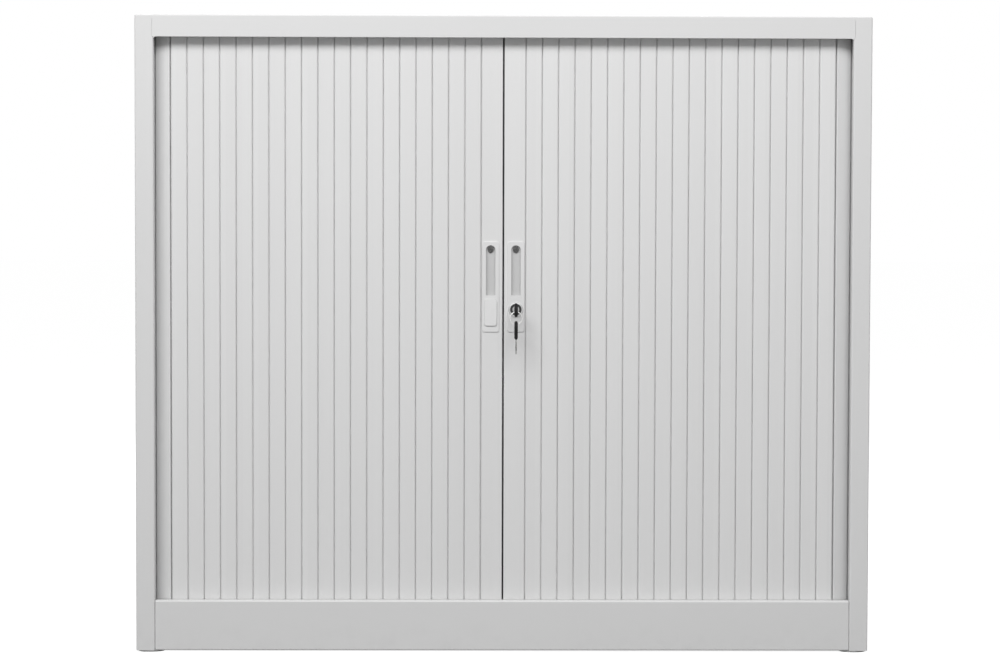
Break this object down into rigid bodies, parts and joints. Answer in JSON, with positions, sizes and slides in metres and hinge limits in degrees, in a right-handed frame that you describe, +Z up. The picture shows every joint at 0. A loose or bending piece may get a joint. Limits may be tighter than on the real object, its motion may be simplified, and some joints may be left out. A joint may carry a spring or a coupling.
{
  "type": "roll front tool cabinet",
  "caption": "Low storage cabinet with slatted roller shutters that slide open to either side, lockable handles, inner shelves and levelling feet.",
  "frame": {"origin": "on the floor, at the middle of the bounding box of the width and the depth", "axes": "+X to the right across the front, +Y from the front to the back, +Z up"},
  "size_m": [1.2, 0.475, 1.04],
  "materials": {
    "painted_steel": "fine satin light grey powder coat",
    "shutter_plastic": "satin light grey extruded slat",
    "handle_plastic": "satin grey moulding",
    "guide_plastic": "smooth grey low-friction plastic",
    "foot_plastic": "grey moulded plastic",
    "key_plastic": "black moulded plastic",
    "zinc_plate": "bright zinc-plated steel",
    "lock_chrome": "polished chrome",
    "key_steel": "nickel-plated key blank",
    "dark_screw": "black-oxide steel"
  },
  "bodies": {
    "carcass": {"left_side_panel": "painted_steel", "right_side_panel": "painted_steel", "top_panel": "painted_steel", "plinth": "painted_steel", "base_panel": "painted_steel", "ceiling_panel": "painted_steel", "back_panel": "painted_steel", "back_rivets": "zinc_plate", "lower_track_rails": "guide_plastic", "lower_track_corners": "guide_plastic", "upper_track_rails": "guide_plastic", "upper_track_corners": "guide_plastic", "track_stops": "guide_plastic", "left_corner_slats": "shutter_plastic", "right_corner_slats": "shutter_plastic", "left_side_liner": "painted_steel", "right_side_liner": "painted_steel", "inner_back_panel": "painted_steel", "lower_shelf": "painted_steel", "upper_shelf": "painted_steel", "shelf_clips": "zinc_plate", "corner_gussets": "zinc_plate", "foot_bushes": "zinc_plate"},
    "left_shutter": {"left_lead_slat": "shutter_plastic", "left_curtain_slats": "shutter_plastic", "left_guide_shoes": "guide_plastic", "left_handle": "handle_plastic", "left_lock_cap": "handle_plastic", "left_handle_screw": "dark_screw", "strike_plate": "zinc_plate", "strike_pin": "zinc_plate", "strike_screws": "zinc_plate"},
    "right_shutter": {"right_lead_slat": "shutter_plastic", "right_curtain_slats": "shutter_plastic", "right_guide_shoes": "guide_plastic", "right_handle": "handle_plastic", "right_handle_screw": "dark_screw", "lock_housing": "lock_chrome", "lock_nut": "zinc_plate"},
    "lock": {"lock_barrel": "lock_chrome", "lock_hook": "zinc_plate", "hook_nut": "zinc_plate"},
    "key": {"key_blade": "key_steel", "key_bow": "key_plastic"},
    "key_ring": {"key_ring": "key_steel"},
    "spare_key": {"spare_key_blade": "key_steel", "spare_key_bow": "key_plastic"},
    "front_left_pad": {"front_left_foot_pad": "foot_plastic"},
    "front_left_stud": {"front_left_foot_stud": "zinc_plate"},
    "front_right_pad": {"front_right_foot_pad": "foot_plastic"},
    "front_right_stud": {"front_right_foot_stud": "zinc_plate"},
    "rear_left_pad": {"rear_left_foot_pad": "foot_plastic"},
    "rear_left_stud": {"rear_left_foot_stud": "zinc_plate"},
    "rear_right_pad": {"rear_right_foot_pad": "foot_plastic"},
    "rear_right_stud": {"rear_right_foot_stud": "zinc_plate"}
  },
  "joints": [
    {"name": "left_shutter_slide", "type": "slide", "parent": "carcass", "child": "left_shutter", "axis": [-1, 0, 0], "range_m": [0, 0.5003], "deforming": ["left_curtain_slats"]},
    {"name": "right_shutter_slide", "type": "slide", "parent": "carcass", "child": "right_shutter", "axis": [1, 0, 0], "range_m": [0, 0.5003], "deforming": ["right_curtain_slats"]},
    {"name": "lock_turn", "type": "hinge", "parent": "right_shutter", "child": "lock", "pos_m": [0.0207, -0.19512, 0.562], "axis": [0, -1, 0], "range_deg": [0, 90]},
    {"name": "key_pull", "type": "slide", "parent": "lock", "child": "key", "axis": [0, -1, 0], "range_m": [0, 0.019]},
    {"name": "ring_hang", "type": "hinge", "parent": "key", "child": "key_ring", "pos_m": [0.0207, -0.22612, 0.55426], "axis": [0, -1, 0], "range_deg": [-90, 0]},
    {"name": "spare_key_swing", "type": "hinge", "parent": "key_ring", "child": "spare_key", "pos_m": [0.0207, -0.22612, 0.53897], "axis": [1, 0, 0], "range_deg": [-60, 15]},
    {"name": "front_left_foot_lift", "type": "slide", "parent": "carcass", "child": "front_left_pad", "axis": [0, 0, -1], "range_m": [0, 0.012]},
    {"name": "front_left_foot_screw", "type": "hinge", "parent": "front_left_pad", "child": "front_left_stud", "pos_m": [-0.5772, -0.19132, 0.0143], "axis": [0, 0, 1], "range_deg": [0, 2880]},
    {"name": "front_right_foot_lift", "type": "slide", "parent": "carcass", "child": "front_right_pad", "axis": [0, 0, -1], "range_m": [0, 0.012]},
    {"name": "front_right_foot_screw", "type": "hinge", "parent": "front_right_pad", "child": "front_right_stud", "pos_m": [0.5772, -0.19132, 0.0143], "axis": [0, 0, 1], "range_deg": [0, 2880]},
    {"name": "rear_left_foot_lift", "type": "slide", "parent": "carcass", "child": "rear_left_pad", "axis": [0, 0, -1], "range_m": [0, 0.012]},
    {"name": "rear_left_foot_screw", "type": "hinge", "parent": "rear_left_pad", "child": "rear_left_stud", "pos_m": [-0.5772, 0.21307, 0.0143], "axis": [0, 0, 1], "range_deg": [0, 2880]},
    {"name": "rear_right_foot_lift", "type": "slide", "parent": "carcass", "child": "rear_right_pad", "axis": [0, 0, -1], "range_m": [0, 0.012]},
    {"name": "rear_right_foot_screw", "type": "hinge", "parent": "rear_right_pad", "child": "rear_right_stud", "pos_m": [0.5772, 0.21307, 0.0143], "axis": [0, 0, 1], "range_deg": [0, 2880]}
  ],
  "couplings": [
    {"joint": "ring_hang", "follows": "lock_turn", "ratio": -1},
    {"joint": "front_left_foot_screw", "follows": "front_left_foot_lift", "rad_per_m": 4188.8},
    {"joint": "front_right_foot_screw", "follows": "front_right_foot_lift", "rad_per_m": 4188.8},
    {"joint": "rear_left_foot_screw", "follows": "rear_left_foot_lift", "rad_per_m": 4188.8},
    {"joint": "rear_right_foot_screw", "follows": "rear_right_foot_lift", "rad_per_m": 4188.8}
  ]
}
